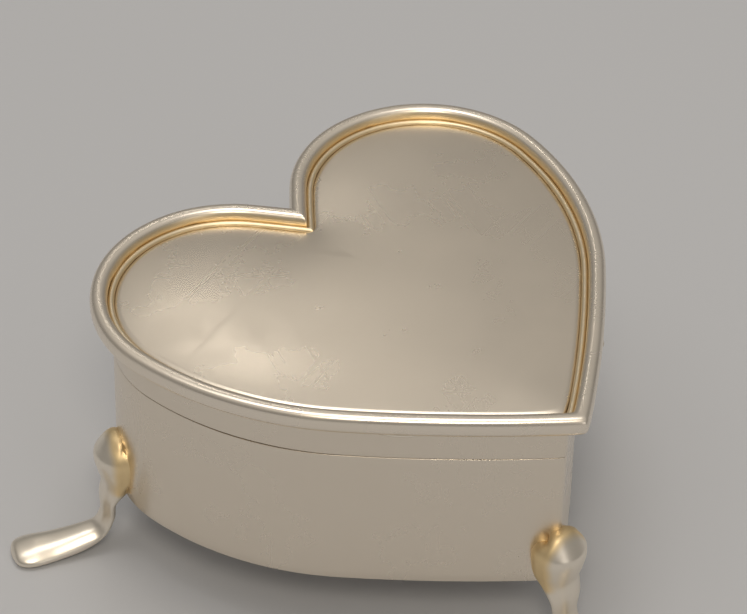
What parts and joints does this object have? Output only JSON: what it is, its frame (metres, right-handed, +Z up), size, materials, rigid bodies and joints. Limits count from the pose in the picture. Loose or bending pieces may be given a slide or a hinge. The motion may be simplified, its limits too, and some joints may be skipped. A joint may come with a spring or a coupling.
{
  "type": "heart-shaped trinket box",
  "caption": "Heart-shaped silver trinket box with a hinged, rimmed lid, a lined well and cabriole legs with slipper feet.",
  "frame": {"origin": "middle of the bounding box on the ground, under the body", "axes": "+Z up, the tip of the heart points to -Y, the hinge is on the +X side"},
  "size_m": [0.083, 0.0722, 0.0369],
  "materials": {
    "silver_sheet": "polished silver sheet with fine hairline scratches, soft dents and light tarnish",
    "silver_cast": "cast silver, polished smooth, darker in the hollows",
    "silver_wire": "drawn silver moulding, polished on its crown, brown tarnish in the groove",
    "silver_fittings": "silver fittings, satin",
    "pin_wire": "drawn wire, satin",
    "velvet": "deep red velvet pile",
    "silk": "cream silk satin"
  },
  "bodies": {
    "body": {"body_wall": "silver_sheet", "base_plate": "silver_fittings", "body_bezel": "silver_fittings", "leg_left": "silver_cast", "leg_right": "silver_cast", "leg_front": "silver_cast", "hinge_leaf_body": "silver_fittings", "hinge_knuckle_body_front": "silver_fittings", "hinge_knuckle_body_middle": "silver_fittings", "hinge_knuckle_body_back": "silver_fittings", "hinge_pin": "pin_wire", "wall_lining": "velvet", "floor_pad": "velvet"},
    "lid": {"lid_skirt": "silver_sheet", "lid_panel": "silver_sheet", "rim_moulding": "silver_wire", "rim_wire": "silver_wire", "thumb_lip": "silver_cast", "hinge_leaf_lid": "silver_fittings", "hinge_knuckle_lid_front": "silver_fittings", "hinge_knuckle_lid_back": "silver_fittings", "lid_pad": "silk"}
  },
  "joints": [
    {"name": "lid_hinge", "type": "hinge", "parent": "body", "child": "lid", "pos_m": [0.0225, -0.00276, 0.02895], "axis": [0.6293, 0.7771, 0], "range_deg": [0, 100]}
  ]
}
